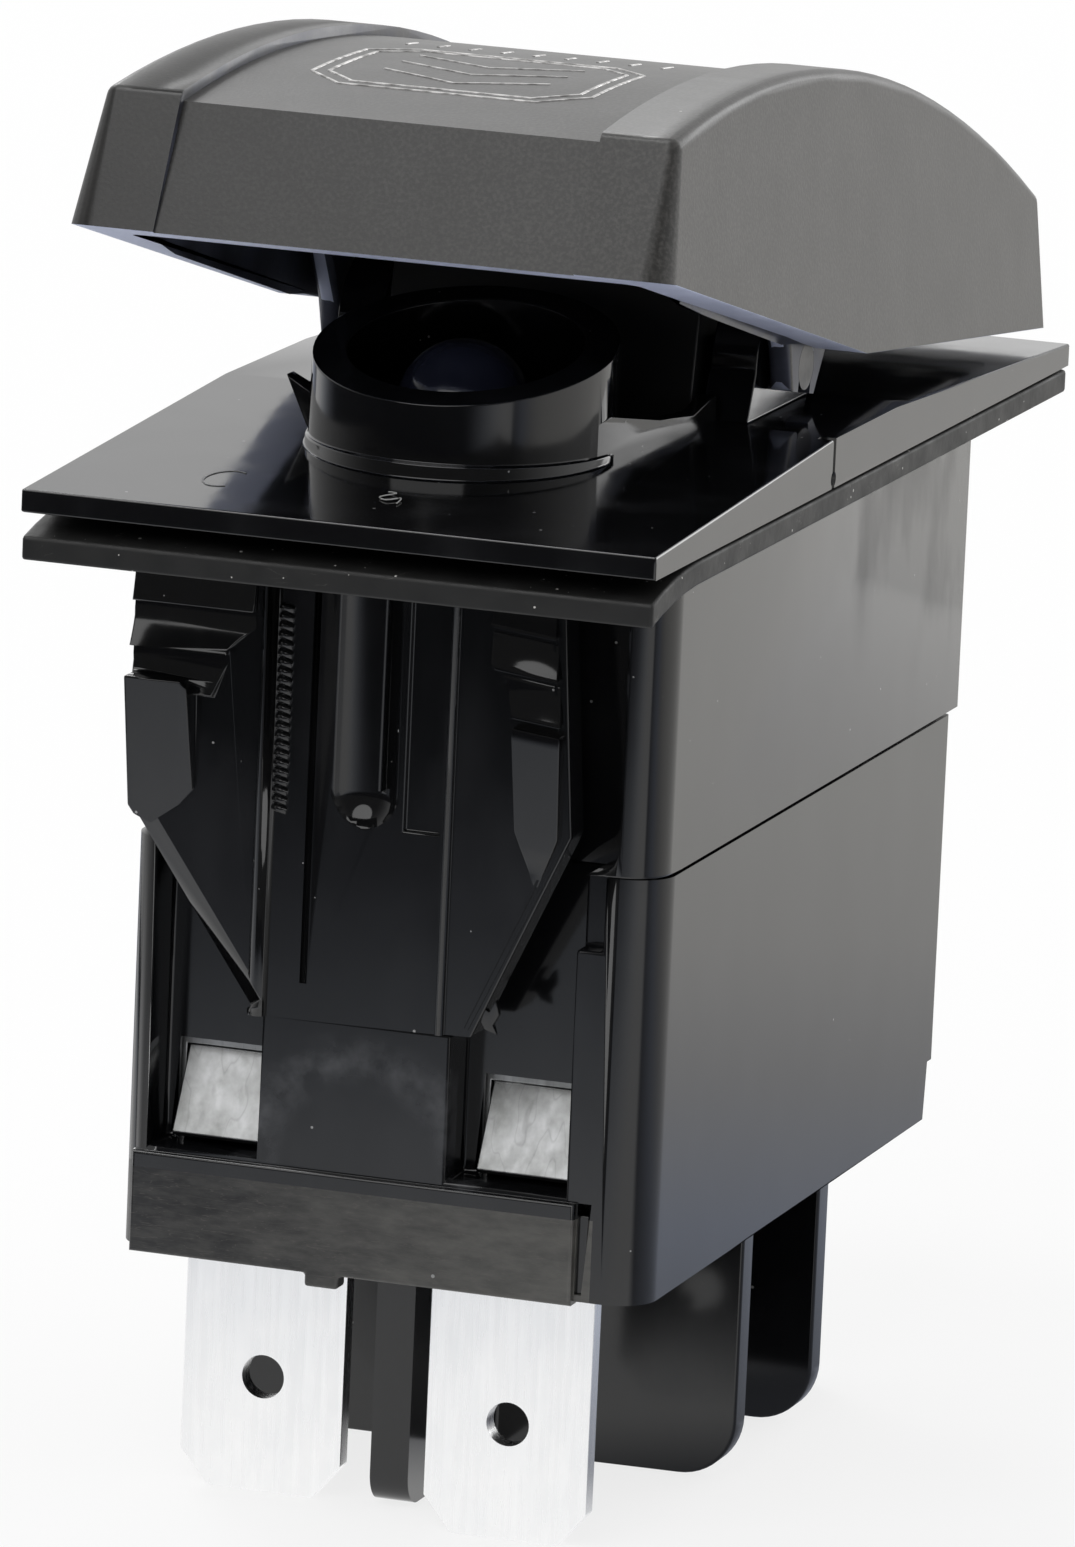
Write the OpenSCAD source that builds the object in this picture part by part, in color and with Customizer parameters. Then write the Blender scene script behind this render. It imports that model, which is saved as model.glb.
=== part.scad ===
// Panel rocker switch with two lamps, snap-in mounting bracket and quick-connect blades.
// X is the width, Y the length with the front at -Y, Z is up out of the panel.
// The origin is the centre of the panel seat, the underside of the flange.

/* [Body] */
// Width of the body that goes through the panel
body_w = 20.9; // [20.6:0.1:25.1]
// Length of the body that goes through the panel
body_l = 36.6; // [35:0.1:44]
// Depth of the bracket below the panel seat
bracket_h = 12.5; // [11.5:0.1:15]
// Depth of the base below the panel seat
base_depth = 28.65; // [27.5:0.05:34.4]
// Wall of the bracket and the base
wall = 1.2; // [0.9:0.1:1.5]
// How far the base stands back from the bracket at each end
base_inset = 0.8; // [0.4:0.05:1]
// Radius of the upright corners at the front
corner_r = 1.6; // [1:0.1:2]

/* [Flange] */
// How far the flange stands out of each side of the body
flange_side = 1.65; // [1.2:0.05:3]
// How far the flange stands out of each end of the body
flange_end = 6.9; // [6:0.1:10]
// Thickness of the flange at its ends
flange_end_t = 0.86; // [0.6:0.02:1.2]
// Thickness of the flange along its middle
flange_mid_t = 1.87; // [1.5:0.02:2.2]
// Length of the level middle of the flange
flange_level_l = 8.8; // [6:0.2:12]
// Thickness of the gasket
gasket_t = 0.9; // [0.7:0.05:1.1]

/* [Latches] */
// Sideways offset of the latch strap from the middle
latch_offset = -1.2; // [-1.3:0.05:-1]
// Width of the middle strap
strap_w = 7.6; // [7:0.1:8]
// Thickness of the strap and the latch wings
latch_t = 1.6; // [1.4:0.1:2]
// How far the strap stands out of the body
latch_proud = 0.35; // [0.2:0.05:0.6]
// How far the catches stand out of the wings
catch_proud = 1.0; // [0.6:0.05:1.2]
// Depth of the strap's lower end below the panel seat
strap_end = 19.1; // [18:0.1:21]

/* [Blades] */
// Width of a quick-connect blade
blade_w = 6.35; // [4.8:0.05:6.4]
// Thickness of a quick-connect blade
blade_t = 0.8; // [0.5:0.05:0.9]
// How far the blades stand out of the base
blade_l = 9.49; // [8:0.01:12]
// Distance from a blade's tip to its hole
blade_hole_up = 4.4; // [3.5:0.1:5]
// Radius of the hole in a blade
blade_hole_r = 0.83; // [0.6:0.01:0.9]
// Distance of the blades from the middle plane
blade_x = 5.2; // [4.9:0.05:5.4]
// Thickness of the fins between the blades
fin_t = 1.2; // [0.9:0.1:1.4]
// How far the fins stand out of the base
fin_l = 9.35; // [6:0.05:9.4]

/* [Rocker] */
// Height of the rocker's pivot above the panel seat
pivot_z = 3.6; // [3.4:0.05:3.8]
// Tilt of the rocker at rest
rest_tilt = 10.5; // [8:0.5:11]
// How far the cap's sides stand back from the flange's
cap_side = 0.6; // [0.4:0.05:1]
// How far the cap's ends stand back from the flange's
cap_end = 0.7; // [0.5:0.05:1.5]
// Radius of the cap's arched top
cap_arch_r = 75; // [60:1:100]
// Wall of the cap
cap_wall = 1.6; // [1.2:0.1:2]
// Width of the rails along the cap's sides
rail_w = 3.0; // [2:0.1:4]
// Depth of the recessed middle panel
panel_recess = 0.4; // [0.2:0.05:0.6]
// Radius of the trunnions
trunnion_r = 0.9; // [0.7:0.05:1]

/* [Lamps] */
// Distance of the lamps from the middle
lamp_y = 11.8; // [11.6:0.1:13]
// Radius of the lamp's lens
lamp_r = 2.5; // [1.5:0.1:2.5]
// Outer radius of the lamp collars
collar_r = 5.65; // [5.2:0.05:5.8]
// Wall of the lamp collars
collar_wall = 1.3; // [0.9:0.05:1.5]
// Height of the collar's low side above the panel seat
collar_low = 4.0; // [3.4:0.1:4.4]
// Slope of the collar's rim
collar_slope = 13; // [8:0.5:14]

/* [Contacts] */
// Distance of the contact set from the middle plane
pole_x = 4.6; // [4.4:0.1:4.8]
// Radius of the plunger
plunger_r = 1.3; // [1:0.05:1.35]
// Depth of the contact rocker's edge below the panel seat
fulcrum_depth = 17.03; // [17.03:0.01:17.3]
// Width of the contact rocker
contact_w = 5.0; // [4:0.1:5.2]
// Slope of the contact rocker's two arms
arm_slope = 11.3; // [10:0.1:13]
// Tilt of the contact rocker at rest
contact_tilt = 6; // [5:0.1:6]

/* [Hidden] */

// Clearances
fit = 0.05;       // between pieces that are pressed or clipped together
slide_fit = 0.06; // radial play of the trunnions and the plunger
e = 0.01;         // overlap of cutting tools

// Flange and bracket
flange_w = body_w + 2 * flange_side;
flange_l = body_l + 2 * flange_end;
front = -body_l / 2;
side = body_w / 2;
rear_corner_r = 0.3;
strap_x0 = latch_offset - strap_w / 2;
strap_x1 = latch_offset + strap_w / 2;
strap_y = front - latch_proud;
strap_back = strap_y + latch_t;
wing_y = strap_y + 0.15;
wing_x0 = -side + 0.4;
wing_x1 = strap_x1 + 4.6;
wing_flex = 0.9;
recess_floor = strap_back + wing_flex;
recess_x1 = side - 1.5;
recess_r = 1.2;
seam_gap = 0.2;

// Lamp wells and the opening of the rocker
well_floor_z = -2.0;
well_floor_t = 0.8;
opening_x = 6.35;
opening_y = 5.3;
post_x0 = opening_x + 0.15;
post_t = 1.8;
post_x1 = post_x0 + post_t;
post_foot_w = 7.2;
post_r = 2.8;

// Base
base_w = body_w - 0.2;
base_front = front + base_inset;
base_floor_t = 2.2;
window_depth = 2.0;
window_wall = 0.6;
window_floor = base_front + window_depth;
window_z0 = -base_depth + 3.85;
lance_h = 3.6;
lance_w = 3.9;
lance_x = [-6.75, 5.2];
column_x0 = strap_x0 + 0.16;
column_x1 = strap_x1 - 0.1;
corner_x = side - 3.25;
band_z1 = -base_depth + 3.7;
fin_y = [-5.28, 3.86];
fin_end = -base_depth - fin_l;
fin_corner_r = 2.2;
rib_t = 1.2;
foot_step = 0.9;

// Terminals
blade_tip = -base_depth - blade_l;
lamp_plate_y = window_floor + window_wall + fit + blade_t / 2;
right_blade_y = lamp_plate_y - 2.15;
rear_blade_y = 10.6;
jog_z = -base_depth + base_floor_t + 0.05;
lead_z = -base_depth + 8.25;

// Rocker, in its own frame with the pivot at the origin and the cap level
cap_w = flange_w - 2 * cap_side;
cap_l = flange_l - 2 * cap_end;
cap_corner_z = cap_l / 2 * tan(rest_tilt) - 2.14;
cap_middle_z = 0.7;
cap_shoulder_z = 7.45;
cap_top_z = 11.12;
cap_shoulder_l = cap_l - 2.9;
cap_edge_r = 0.5;
cap_corner_r = 1.2;
cap_draft = 0.1;
ear_x0 = post_x1 + 0.15;
ear_t = 0.9;
ear_foot_z = -1.0;
cradle_w = 2 * opening_x - 0.5;
cradle_l = 6.8;
plunger_x = -pole_x + 0.5;
guide_r = 2.1;
guide_end = -12.6;
plunger_tip = -pivot_z - fulcrum_depth + 1.03;
plunger_top = -10.4;
spring_top = -3.2;
spring_wire_r = 0.18;
spring_turns = 9;

// Contacts
arm_t = 0.8;
arm_l = 8.7;
rivet_r = 1.3;
rivet_shank_r = 0.6;
rivet_t = 0.6;
rivet_at = 7.55;
load_contact_y = 7.57;
load_contact_z = -fulcrum_depth - 0.05;
load_shelf_z = load_contact_z - rivet_t;

// Lamps
lamp_dome_z = 3.0;
lamp_rim_t = 1;
lamp_rim_z = well_floor_z - fit;
lead_r = 0.25;
lead_x = 1.27;
lead_knee_z = lead_z + 2.9;
resistor_z1 = -6.2;
resistor_l = 6.3;
resistor_r = 1.1;

// ---------------------------------------------------------------- helpers

// A box from one corner to the other
module block(low, high) {
    translate(low) cube(high - low);
}

// An upright block, centred on the Z axis, with corner radii for the front and the rear
module rounded_block(w, l, z0, z1, r_front, r_rear) {
    translate([0, 0, z0]) linear_extrude(z1 - z0) {
        for (sx = [-1, 1]) {
            translate([sx * (w / 2 - r_front), -l / 2 + r_front]) circle(r_front, $fn = 48);
            translate([sx * (w / 2 - r_rear), l / 2 - r_rear]) circle(r_rear, $fn = 48);
        }
        polygon([[-w / 2 + r_front, -l / 2], [w / 2 - r_front, -l / 2], [w / 2, -l / 2 + r_front],
                 [w / 2, l / 2 - r_rear], [w / 2 - r_rear, l / 2], [-w / 2 + r_rear, l / 2],
                 [-w / 2, l / 2 - r_rear], [-w / 2, -l / 2 + r_front]]);
    }
}

// A side view given as [y, z] points, drawn out from x0 to x1
module side_profile(x0, x1) {
    translate([x0, 0, 0]) rotate([90, 0, 90]) linear_extrude(x1 - x0) children();
}

// A front view given as [x, z] points, drawn out from y0 to y1
module front_profile(y0, y1) {
    translate([0, y1, 0]) rotate([90, 0, 0]) linear_extrude(y1 - y0) children();
}

// A round rod between two points
module rod(a, b, r) {
    d = b - a;
    translate(a)
        rotate([0, acos(d[2] / norm(d)), atan2(d[1], d[0])])
            cylinder(h = norm(d), r = r, $fn = 24);
}

// Copies the children to the front and, mirrored, to the rear
module both_ends() {
    children();
    mirror([0, 1, 0]) children();
}

// Puts a piece drawn in the rocker's level frame at its rest tilt
module at_rest() {
    translate([0, 0, pivot_z]) rotate([-rest_tilt, 0, 0]) children();
}

// Puts a piece drawn in the contact rocker's level frame at its rest tilt
module contact_at_rest() {
    translate([-pole_x, 0, -fulcrum_depth]) rotate([contact_tilt, 0, 0]) children();
}

// ---------------------------------------------------------------- flange

module flange() {
    side_profile(-flange_w / 2, flange_w / 2)
        polygon([[-flange_l / 2, 0], [flange_l / 2, 0], [flange_l / 2, flange_end_t],
                 [flange_level_l / 2, flange_mid_t], [-flange_level_l / 2, flange_mid_t],
                 [-flange_l / 2, flange_end_t]]);
}

// The slit in the flange's right edge, with a round foot
module edge_slit() {
    slit_y = -4.7;
    slit_w = 0.3;
    slit_depth = 0.6;
    foot_r = 0.3;
    block([flange_w / 2 - slit_depth, slit_y - slit_w / 2, -e],
          [flange_w / 2 + e, slit_y + slit_w / 2, flange_mid_t + e]);
    translate([flange_w / 2 - slit_depth, slit_y, foot_r + fit]) rotate([0, 90, 0])
        cylinder(h = 1, r = foot_r, $fn = 24);
}

// ---------------------------------------------------------------- latches

// Outline of the wide wing, the strap and the narrow wing, as [x, z] points
wide_foot = [strap_x0 - 0.1, -strap_end + 0.3];
wide_heel = [wing_x0 + 0.2, -12.1];
narrow_foot = [strap_x1 + 1.04, -strap_end + 0.1];
narrow_heel = [wing_x1 - 0.05, -11.2];
narrow_top = [wing_x1 - 0.75, -1];

module latch_outline() {
    polygon([[wing_x0, -1], narrow_top, narrow_heel, narrow_foot, [strap_x0, -strap_end],
             wide_foot, wide_heel, [wing_x0, wide_heel[1] + 0.3]]);
}

// Plan section of the wings and the strap: a rib at one edge of the strap, a bead at the other
module latch_section() {
    rib_r = 0.45;
    bead_r = 0.16;
    translate([wing_x0, wing_y]) square([wing_x1 - wing_x0, strap_back - wing_y]);
    translate([strap_x0, strap_y]) square([strap_w, latch_t]);
    translate([strap_x0 + rib_r - 0.1, strap_y + rib_r - 0.22]) circle(rib_r, $fn = 32);
    translate([strap_x1 - bead_r, strap_y]) circle(bead_r, $fn = 24);
}

// Planes down the front edge of the outline from a to b, which has the material on its left
module edge_bevel(a, b, width, depth) {
    d = b - a;
    translate([a[0], wing_y, a[1]]) rotate([0, -atan2(d[1], d[0]), 0])
        side_profile(-0.1, norm(d) + 0.1)
            polygon([[-2, -0.5], [depth, -0.5], [depth, 0], [0, width], [-2, width]]);
}

// A row of hollow-faced teeth, as a side view: each is [top, crest, how far it stands out]
module tooth_profile(teeth) {
    steps = 6;
    root = wing_y + 0.3;
    for (t = teeth)
        polygon(concat([[root, t[1]], [root, t[0]]],
                       [for (i = [0:steps]) let (k = i / steps)
                           [wing_y - t[2] * k ^ 1.6, t[0] + (t[1] - t[0]) * k]]));
}

// The ramp that stands out at its top and runs back into the wing
module ramp_profile(top, foot, out) {
    polygon([[wing_y + 0.3, top], [wing_y - out, top], [wing_y, foot], [wing_y + 0.3, foot]]);
}

module wide_wing_catch() {
    top = -6.8;
    intersection() {
        side_profile(wing_x0, strap_x0)
            tooth_profile([[-1.6, -4.1, 0.4], [-4.15, -5.75, 0.55], [-5.85, -7.4, 0.35]]);
        front_profile(strap_y - 2, strap_back)
            polygon([[wing_x0, -1.5], [strap_x0 - 0.3, -1.5], [strap_x0 - 0.3, -4.7], [strap_x0 - 1.3, -5.6],
                     [strap_x0 - 1.3, -6], [strap_x0 - 2.1, -8.1], [wing_x0, -8.1]]);
    }
    intersection() {
        side_profile(wing_x0, strap_x0) ramp_profile(top, -12.4, catch_proud);
        front_profile(strap_y - 2, strap_back)
            polygon([[wing_x0, top], [wing_x0 + 2.2, top], [wing_x0 + 2.45, top - 0.3],
                     [wing_x0 + 2.6, -10.9], [wing_x0 + 2, -11.6], [wing_x0 + 0.9, -12.4],
                     wide_heel, [wing_x0, wide_heel[1] + 0.3]]);
    }
}

module narrow_wing_catch() {
    inner = strap_x1 + 1.2;
    lean = 6;
    intersection() {
        translate([inner, 0, 0]) rotate([0, lean, 0]) side_profile(-1, 5)
            tooth_profile([[-2.2, -3.75, 0.35], [-3.9, -5.4, 0.6], [-5.5, -7.1, 0.5]]);
        front_profile(strap_y - 2, strap_back)
            polygon([[inner, -2], [inner + 0.05, -5.1], [inner + 0.5, -5.5], [inner + 1.3, -8],
                     narrow_heel + [-0.4, 3], narrow_top + [-0.3, -1]]);
    }
    intersection() {
        translate([inner, 0, 0]) rotate([0, lean, 0]) side_profile(-1, 5)
            ramp_profile(-7.35, -12.8, catch_proud * 0.75);
        front_profile(strap_y - 2, strap_back)
            polygon([[inner + 1.1, -7.2], [inner + 1.35, -11.6], [inner + 2.2, -13.3],
                     narrow_heel + [-0.45, -0.4], narrow_heel + [-0.4, 3.9]]);
    }
}

// Grooves and the scooped channel down the face of the strap
module strap_hollows() {
    groove_x = strap_x0 + 2.1;
    channel_x = strap_x0 + 4.2;
    channel_end = -10.4;
    scoop_r = 1.7;
    scoop_out = 1.15;
    translate([groove_x, strap_y, -17.7]) cylinder(h = 20, r = 0.14, $fn = 24);
    translate([channel_x, strap_y - scoop_out, channel_end]) {
        cylinder(h = 20, r = scoop_r, $fn = 64);
        sphere(scoop_r, $fn = 64);
    }
    block([channel_x + 1.55, strap_y - 1, -11.6], [strap_x1 - 0.45, strap_y + 0.2, 0]);
}

// The fine teeth beside the rib and the thin rib inside the channel
module strap_details() {
    tooth_pitch = 0.34;
    tooth_r = 0.15;
    teeth_top = -3.8;
    for (z = [teeth_top:-tooth_pitch:-11.5])
        translate([strap_x0 + 0.95, strap_y, z]) rotate([0, 105, 0])
            cylinder(h = 0.55, r = tooth_r, center = true, $fn = 16);
    block([strap_x0 + 4.72, strap_y - 0.05, -10.2], [strap_x0 + 4.86, strap_back, -1]);
}

module latch() {
    difference() {
        intersection() {
            front_profile(strap_y - 1, strap_back) latch_outline();
            translate([0, 0, -strap_end - 1]) linear_extrude(strap_end + 1) latch_section();
        }
        strap_hollows();
        edge_bevel(wide_heel, wide_foot, 0.75, 0.35);
        edge_bevel(narrow_foot, narrow_heel, 0.3, 0.25);
        edge_bevel(narrow_heel, narrow_top, 0.25, 0.25);
    }
    strap_details();
    wide_wing_catch();
    narrow_wing_catch();
    // Carries the strap on the wall behind it
    block([strap_x0 + 0.4, strap_back - 0.2, -bracket_h], [strap_x1 - 0.4, recess_floor + e, 0]);
}

// The space at the end of the bracket in which the wings bend
module bracket_recess() {
    block([-side - 1, front - 1, -bracket_h - e], [recess_x1 - recess_r, recess_floor, -0.8]);
    block([-side - 1, front - 1, -bracket_h + recess_r], [recess_x1, recess_floor, -0.8]);
    translate([recess_x1 - recess_r, recess_floor, -bracket_h + recess_r]) rotate([90, 0, 0])
        cylinder(h = 5, r = recess_r, $fn = 48);
}

// ---------------------------------------------------------------- bracket

// Height of the collar's rim at a given y
function collar_z(y) = collar_low + (y + lamp_y + collar_r) * tan(collar_slope);

// A round wall about a lamp with a sloping rim, standing through the flange on its own floor
module lamp_well() {
    foot_out = 0.14;
    foot_z = flange_end_t + 0.95;
    difference() {
        union() {
            intersection() {
                translate([0, -lamp_y, well_floor_z]) cylinder(h = 12, r = collar_r, $fn = 96);
                side_profile(-collar_r, collar_r)
                    polygon([[-lamp_y - collar_r, well_floor_z], [-lamp_y + collar_r, well_floor_z],
                             [-lamp_y + collar_r, collar_z(-lamp_y + collar_r)],
                             [-lamp_y - collar_r, collar_low]]);
            }
            translate([0, -lamp_y, 0.5]) cylinder(h = foot_z - 0.5, r = collar_r + foot_out, $fn = 96);
        }
        translate([0, -lamp_y, well_floor_z + well_floor_t])
            cylinder(h = 12, r = collar_r - collar_wall, $fn = 96);
        translate([0, -lamp_y, well_floor_z - e]) cylinder(h = 2, r = lamp_r + fit, $fn = 64);
    }
    // A hooked gusset on the collar's left
    front_profile(-lamp_y - 0.4, -lamp_y + 0.4)
        polygon([[-collar_r + 0.3, flange_end_t], [-collar_r - 0.4, flange_mid_t],
                 [-collar_r - 1.2, collar_low - 0.4], [-collar_r + 0.3, collar_low - 1.2]]);
}

// Low walls beside the opening, from the collar to a raised end at the pivot
module opening_border(s) {
    wall_t = 0.7;
    near = [5.57, -lamp_y - 0.97];
    far = [7.1, -3.6];
    intersection() {
        translate([0, 0, flange_end_t])
            linear_extrude(3)
                polygon([[s * (near[0] - wall_t), near[1] + 0.1], [s * near[0], near[1]],
                         [s * far[0], far[1]], [s * (far[0] - wall_t), far[1]]]);
        side_profile(-side, side)
            polygon([[near[1], 0], [far[1], 0], [far[1], 2.85], [far[1] - 0.6, 2.75], [-5.4, 2.35],
                     [-8, 2.5], [-11.8, 3.15], [near[1], 3]]);
    }
}

// A pivot post with sloping ends and the bore for a trunnion
module pivot_post(s) {
    mirror([s < 0 ? 1 : 0, 0, 0]) difference() {
        union() {
            side_profile(post_x0, post_x1)
                polygon([[-post_foot_w / 2, flange_mid_t - 0.5], [post_foot_w / 2, flange_mid_t - 0.5],
                         [post_foot_w / 2, flange_mid_t], [post_r, pivot_z], [-post_r, pivot_z],
                         [-post_foot_w / 2, flange_mid_t]]);
            translate([post_x0, 0, pivot_z]) rotate([0, 90, 0]) cylinder(h = post_t, r = post_r, $fn = 64);
        }
        translate([0, 0, pivot_z]) rotate([0, 90, 0])
            cylinder(h = 20, r = trunnion_r + slide_fit, $fn = 48);
    }
}

module bracket() {
    color([0.06, 0.06, 0.065]) {
        difference() {
            union() {
                flange();
                difference() {
                    rounded_block(body_w, body_l, -bracket_h, e, corner_r, rear_corner_r);
                    both_ends() bracket_recess();
                }
                both_ends() for (s = [-1, 1]) opening_border(s);
                both_ends() block([-side + wall, recess_floor, -bracket_h],
                                  [recess_x1, recess_floor + wall, e]);
            }
            rounded_block(body_w - 2 * wall, 2 * -(recess_floor + wall), -bracket_h - e, -e, 0.6, 0.6);
            both_ends() translate([0, -lamp_y, 0])
                cylinder(h = 20, r = collar_r - 0.3, center = true, $fn = 96);
            block([-opening_x, -opening_y, -1 - e], [opening_x, opening_y, 6]);
            edge_slit();
        }
        both_ends() lamp_well();
        for (s = [-1, 1]) pivot_post(s);
        both_ends() latch();
    }
}

// A rubber sheet that hangs from the flange and curls down at its front edge
module panel_gasket() {
    hole_w = body_w + 0.6;
    hole_l = body_l + 2 * (latch_proud + 0.45);
    steps = 40;
    hang = 0.15;
    curl = 0.75;
    curl_l = 5.5;
    inset = 0.05;
    function top_z(y) = -hang - curl * max(0, (-y - flange_l / 2 + curl_l) / curl_l) ^ 2;
    ys = [for (i = [0:steps]) -flange_l / 2 + inset + i * (flange_l - 2 * inset) / steps];
    color([0.09, 0.09, 0.09]) difference() {
        side_profile(-flange_w / 2 + inset, flange_w / 2 - inset)
            polygon([for (y = ys) [y, top_z(y)],
                     for (i = [steps:-1:0]) [ys[i], top_z(ys[i]) - gasket_t]]);
        rounded_block(hole_w, hole_l, -4, 1, corner_r, corner_r);
    }
}

// ---------------------------------------------------------------- base

// A fin across the base with rounded lower corners
module cross_fin(y) {
    w = base_w - 0.2;
    corner_z = fin_end + fin_corner_r;
    translate([0, y, 0]) {
        block([-w / 2, 0, corner_z], [w / 2, fin_t, -base_depth + 1]);
        block([-w / 2 + fin_corner_r, 0, fin_end], [w / 2 - fin_corner_r, fin_t, -base_depth]);
        for (s = [-1, 1])
            translate([s * (w / 2 - fin_corner_r), fin_t, corner_z])
                rotate([90, 0, 0]) cylinder(h = fin_t, r = fin_corner_r, $fn = 64);
    }
}

// The fin along the middle
module long_fin() {
    half_l = -base_front - 2.4;
    half_w = 0.75;
    r = 1.2;
    side_profile(-half_w, half_w) {
        translate([-half_l, fin_end + r]) square([2 * half_l, fin_l + 1 - r]);
        translate([-half_l + r, fin_end]) square([2 * (half_l - r), r + e]);
        for (s = [-1, 1]) translate([s * (half_l - r), fin_end + r]) circle(r, $fn = 48);
    }
}

// The recesses either side of the column at an end of the base
module base_recess() {
    top = -bracket_h + e;
    block([-side + 1.25, base_front - 1, window_z0], [column_x0, window_floor, top]);
    block([column_x1, base_front - 1, window_z0], [corner_x, window_floor, top]);
    block([column_x0 - e, base_front - 1, -strap_end - 0.15], [column_x1 + e, window_floor, top]);
    block([-side - 1, base_front - 1, -bracket_h - 0.7], [column_x0, window_floor, top]);
    // Notch and slit that set the corner off
    block([corner_x - e, base_front - 1, -bracket_h - 3], [corner_x + 1, base_front + 0.9, top]);
    block([corner_x + 0.5, base_front - 1, -base_depth + 0.25], [corner_x + 0.9, base_front + 0.8, band_z1]);
}

// The window that the lance of a lamp terminal catches in
module lance_window(x) {
    block([x - lance_w / 2 - 0.15, window_floor - e, window_z0],
          [x + lance_w / 2 + 0.15, window_floor + 3, window_z0 + lance_h + 0.2]);
}

// A slot through the floor for a blade
module blade_slot(x, y) {
    block([x - blade_w / 2 - fit, y - blade_t / 2 - fit, -base_depth - 1],
          [x + blade_w / 2 + fit, y + blade_t / 2 + fit, -base_depth + base_floor_t + 1]);
}

// The tongue of the base that goes up inside the bracket
module base_tongue() {
    tongue_h = 2;
    tongue_t = 0.9;
    outer_r = 0.7;
    w = body_w - 2 * wall - 2 * fit;
    l = 2 * (-recess_floor - wall - fit);
    difference() {
        rounded_block(w, l, -bracket_h - 1, -bracket_h + tongue_h, outer_r, outer_r);
        block([-w / 2 + tongue_t, -l / 2 + tongue_t, -bracket_h - 2],
              [w / 2 - tongue_t, l / 2 - tongue_t, -bracket_h + tongue_h + 1]);
    }
}

module base() {
    inner_y = -(window_floor + window_wall);
    stop_y = -7.4;
    color([0.07, 0.07, 0.075]) difference() {
        union() {
            difference() {
                union() {
                    rounded_block(base_w, 2 * -base_front, -base_depth, -bracket_h - seam_gap,
                                  corner_r, rear_corner_r);
                    // Band along the foot of the front, with a nib under it
                    block([-side + 0.8, base_front - 0.3, -base_depth - 0.15],
                          [corner_x + 0.45, base_front + 1, band_z1]);
                    block([-2.7, base_front - 0.3, -base_depth - 0.65],
                          [-1.4, base_front + 0.6, -base_depth + 0.6]);
                }
                block([-base_w / 2 + wall, -inner_y, -base_depth + base_floor_t],
                      [base_w / 2 - wall, inner_y, 0]);
                both_ends() base_recess();
            }
            base_tongue();
            for (y = fin_y) cross_fin(y);
            long_fin();
            // Wall between the two poles
            block([-rib_t / 2, -inner_y - e, -base_depth + 1], [rib_t / 2, inner_y + e, -fulcrum_depth - 2.5]);
            // Stop under the open end of the contact rocker
            block([-pole_x - 2.2, stop_y - 1, -base_depth + 1], [-pole_x + 2.2, stop_y, -fulcrum_depth - 0.22]);
        }
        for (x = lance_x) lance_window(x);
        blade_slot(-blade_x, lamp_plate_y);
        blade_slot(blade_x, right_blade_y);
        block([blade_x - blade_w / 2 - fit, right_blade_y - blade_t / 2 - fit, jog_z - blade_t],
              [blade_x + blade_w / 2 + fit, lamp_plate_y + blade_t / 2 + fit, jog_z + 0.1]);
        blade_slot(-blade_x, 0);
        for (s = [-1, 1]) blade_slot(s * blade_x, rear_blade_y);
        // Step along the foot of the rear end
        block([-side - 1, -base_front - foot_step, -base_depth - 1],
              [side + 1, -base_front + 1, -base_depth + base_floor_t + 0.05]);
    }
}

// ---------------------------------------------------------------- terminals

// A blade with its hole and bevelled tip, from the tip up to z
module blade(x, y, z) {
    c = 1.1;
    h = blade_w / 2;
    difference() {
        translate([x, 0, 0]) front_profile(y - blade_t / 2, y + blade_t / 2)
            polygon([[-h + c, blade_tip], [h - c, blade_tip], [h, blade_tip + c * 1.2], [h, z],
                     [-h, z], [-h, blade_tip + c * 1.2]]);
        translate([x, y, blade_tip + blade_hole_up]) rotate([90, 0, 0])
            cylinder(h = 4, r = blade_hole_r, center = true, $fn = 48);
    }
}

// The upper plate of a lamp terminal, with a tongue punched out and bent forward at its foot
module lamp_plate(x0, x1, lance_x) {
    bend = 28;
    lance_t = 0.5;
    lance_top = window_z0 + lance_h;
    y0 = lamp_plate_y - blade_t / 2;
    y1 = lamp_plate_y + blade_t / 2;
    difference() {
        block([x0, y0, -base_depth + base_floor_t], [x1, y1, lance_top + 1.3]);
        block([lance_x - lance_w / 2, y0 - e, window_z0 - 0.1],
              [lance_x + lance_w / 2, y1 + e, lance_top - 0.2]);
    }
    translate([lance_x - lance_w / 2 + 0.1, y0, lance_top]) rotate([-bend, 0, 0])
        translate([0, 0.1, -lance_h]) cube([lance_w - 0.2, lance_t, lance_h]);
}

module lamp_terminal_left() {
    color([0.85, 0.86, 0.88]) {
        blade(-blade_x, lamp_plate_y, -base_depth + base_floor_t + e);
        lamp_plate(-side + wall + 0.25, -2.2, lance_x[0]);
    }
}

module lamp_terminal_right() {
    x0 = blade_x - blade_w / 2;
    x1 = blade_x + blade_w / 2;
    color([0.85, 0.86, 0.88]) {
        blade(blade_x, right_blade_y, jog_z - blade_t / 2);
        block([x0, right_blade_y - blade_t / 2, jog_z - blade_t], [x1, lamp_plate_y + blade_t / 2, jog_z]);
        lamp_plate(x0, x1, lance_x[1]);
    }
}

module rear_lamp_terminal() {
    color([0.85, 0.86, 0.88]) blade(blade_x, rear_blade_y, lead_z + 0.4);
}

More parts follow.
